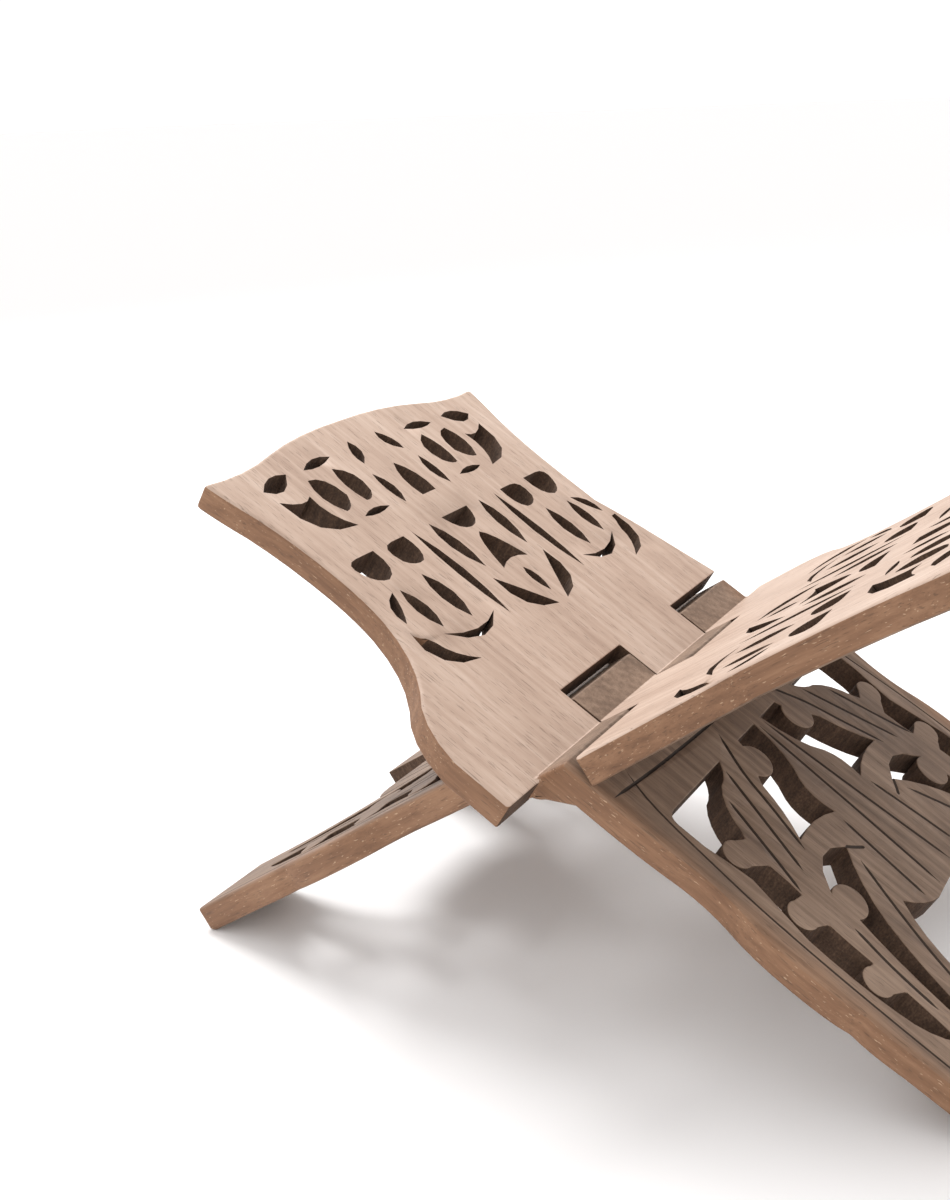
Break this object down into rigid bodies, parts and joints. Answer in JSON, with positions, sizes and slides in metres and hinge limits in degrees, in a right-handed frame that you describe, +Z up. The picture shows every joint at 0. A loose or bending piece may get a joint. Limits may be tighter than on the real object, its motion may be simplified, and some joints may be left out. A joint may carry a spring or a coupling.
{
  "type": "folding book stand",
  "caption": "Folding carved wooden book stand of crossed, interlocking pierced leaves that opens into a V-shaped cradle and folds flat.",
  "frame": {"origin": "on the floor, under the middle of the hinge line, with the stand open", "axes": "+X across the opening of the stand towards the right book rest, +Y along the hinge line away from the reader, +Z up from the floor"},
  "size_m": [0.2842, 0.2, 0.1659],
  "materials": {
    "carved_wood": "oiled hardwood, hand carved"
  },
  "bodies": {
    "left_rest_leaf": {"left_rest_leaf": "carved_wood"},
    "right_rest_leaf": {"right_rest_leaf": "carved_wood"}
  },
  "joints": [
    {"name": "leaf_fold", "type": "hinge", "parent": "left_rest_leaf", "child": "right_rest_leaf", "pos_m": [0, 0, 0.08736], "axis": [0, -1, 0], "range_deg": [0, 114]}
  ]
}
